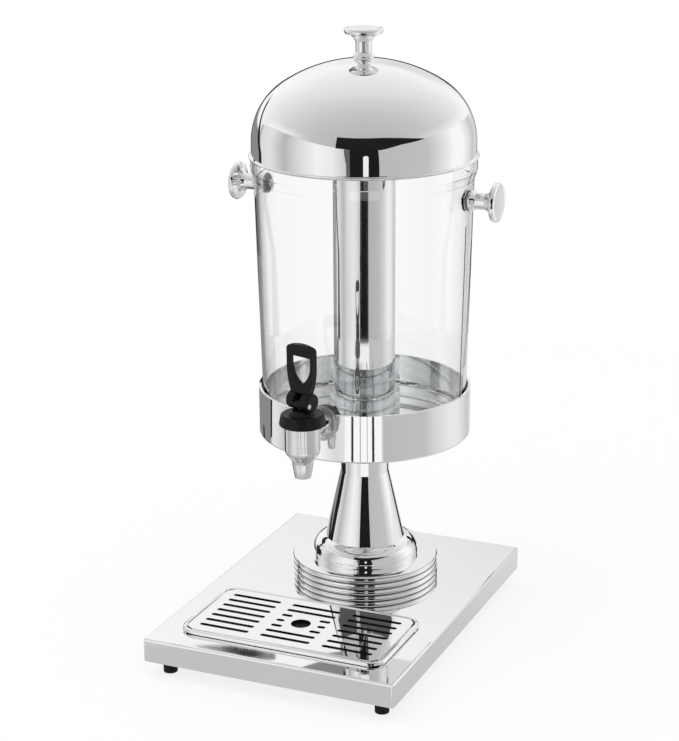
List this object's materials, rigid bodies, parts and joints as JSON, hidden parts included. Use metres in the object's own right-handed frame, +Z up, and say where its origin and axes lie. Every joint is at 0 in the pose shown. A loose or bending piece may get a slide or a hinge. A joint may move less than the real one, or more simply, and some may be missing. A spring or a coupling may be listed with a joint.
{
  "type": "juice dispenser",
  "caption": "Pedestal juice dispenser: clear container with a lever tap in a steel cup, domed lid, ice tube, and a base box with a slotted drip tray.",
  "frame": {"origin": "on the table, under the middle of the base box", "axes": "+Z up, -Y towards the tap and the drip tray, +X to the right when facing the tap"},
  "size_m": [0.28, 0.356, 0.5987],
  "materials": {
    "polished_steel": "mirror-polished stainless steel sheet",
    "plain_steel": "plain stainless steel fasteners and valve pieces",
    "chrome_plate": "bright chrome plate on the tap",
    "clear_plastic": "clear moulded plastic, smooth",
    "black_plastic": "moulded black plastic, satin gloss",
    "black_rubber": "matt rubber",
    "pale_silicone": "translucent pale silicone"
  },
  "bodies": {
    "stand": {"base_pan": "polished_steel", "foot_pads": "black_rubber", "foot_screws": "plain_steel", "foot_nuts": "plain_steel", "plinth": "polished_steel", "column_foot": "polished_steel", "column_cone": "polished_steel", "tie_rod": "plain_steel", "tie_rod_nuts": "plain_steel", "tie_rod_washers": "plain_steel", "cup": "polished_steel"},
    "tray": {"drip_tray": "polished_steel"},
    "grille": {"drip_grille": "polished_steel"},
    "container": {"vessel": "clear_plastic", "left_knob": "polished_steel", "right_knob": "polished_steel", "knob_gaskets": "pale_silicone", "knob_screws": "plain_steel", "tap_body": "chrome_plate", "tap_back_nut": "chrome_plate", "tap_gasket": "pale_silicone", "tap_inner_gasket": "pale_silicone", "tap_lock_nut": "black_plastic", "tap_bonnet": "black_plastic", "bonnet_seal": "pale_silicone", "tap_spring": "plain_steel"},
    "valve": {"tap_seat": "pale_silicone"},
    "stem": {"tap_stem": "black_plastic"},
    "lever": {"tap_lever": "black_plastic", "lever_pin": "plain_steel"},
    "ice_tube": {"ice_tube": "polished_steel"},
    "lid": {"lid_dome": "polished_steel", "lid_ring": "polished_steel", "lid_knob": "polished_steel", "lid_knob_screw": "plain_steel", "lid_knob_washer": "plain_steel"}
  },
  "joints": [
    {"name": "container_lift", "type": "slide", "parent": "stand", "child": "container", "axis": [0, 0, 1], "range_m": [0, 0.09]},
    {"name": "lid_lift", "type": "slide", "parent": "container", "child": "lid", "axis": [0, 0, 1], "range_m": [0, 0.15]},
    {"name": "ice_tube_lift", "type": "slide", "parent": "container", "child": "ice_tube", "axis": [0, 0, 1], "range_m": [0, 0.055]},
    {"name": "tray_lift", "type": "slide", "parent": "stand", "child": "tray", "axis": [0, 0, 1], "range_m": [0, 0.06]},
    {"name": "grille_lift", "type": "slide", "parent": "tray", "child": "grille", "axis": [0, 0, 1], "range_m": [0, 0.05]},
    {"name": "stem_lift", "type": "slide", "parent": "container", "child": "valve", "axis": [0, 0, 1], "range_m": [0, 0.0037], "deforming": ["tap_spring"]},
    {"name": "lever_swivel", "type": "hinge", "parent": "valve", "child": "stem", "pos_m": [0, -0.087, 0.2635], "axis": [0, 0, 1], "continuous": true},
    {"name": "lever_tilt", "type": "hinge", "parent": "stem", "child": "lever", "pos_m": [-0.00143, -0.09169, 0.26615], "axis": [-0.9563, 0.2924, 0], "range_deg": [0, 40], "stiffness_Nm_per_rad": 0.4}
  ],
  "couplings": [
    {"joint": "stem_lift", "follows": "lever_tilt", "m_per_rad": 0.0052}
  ]
}
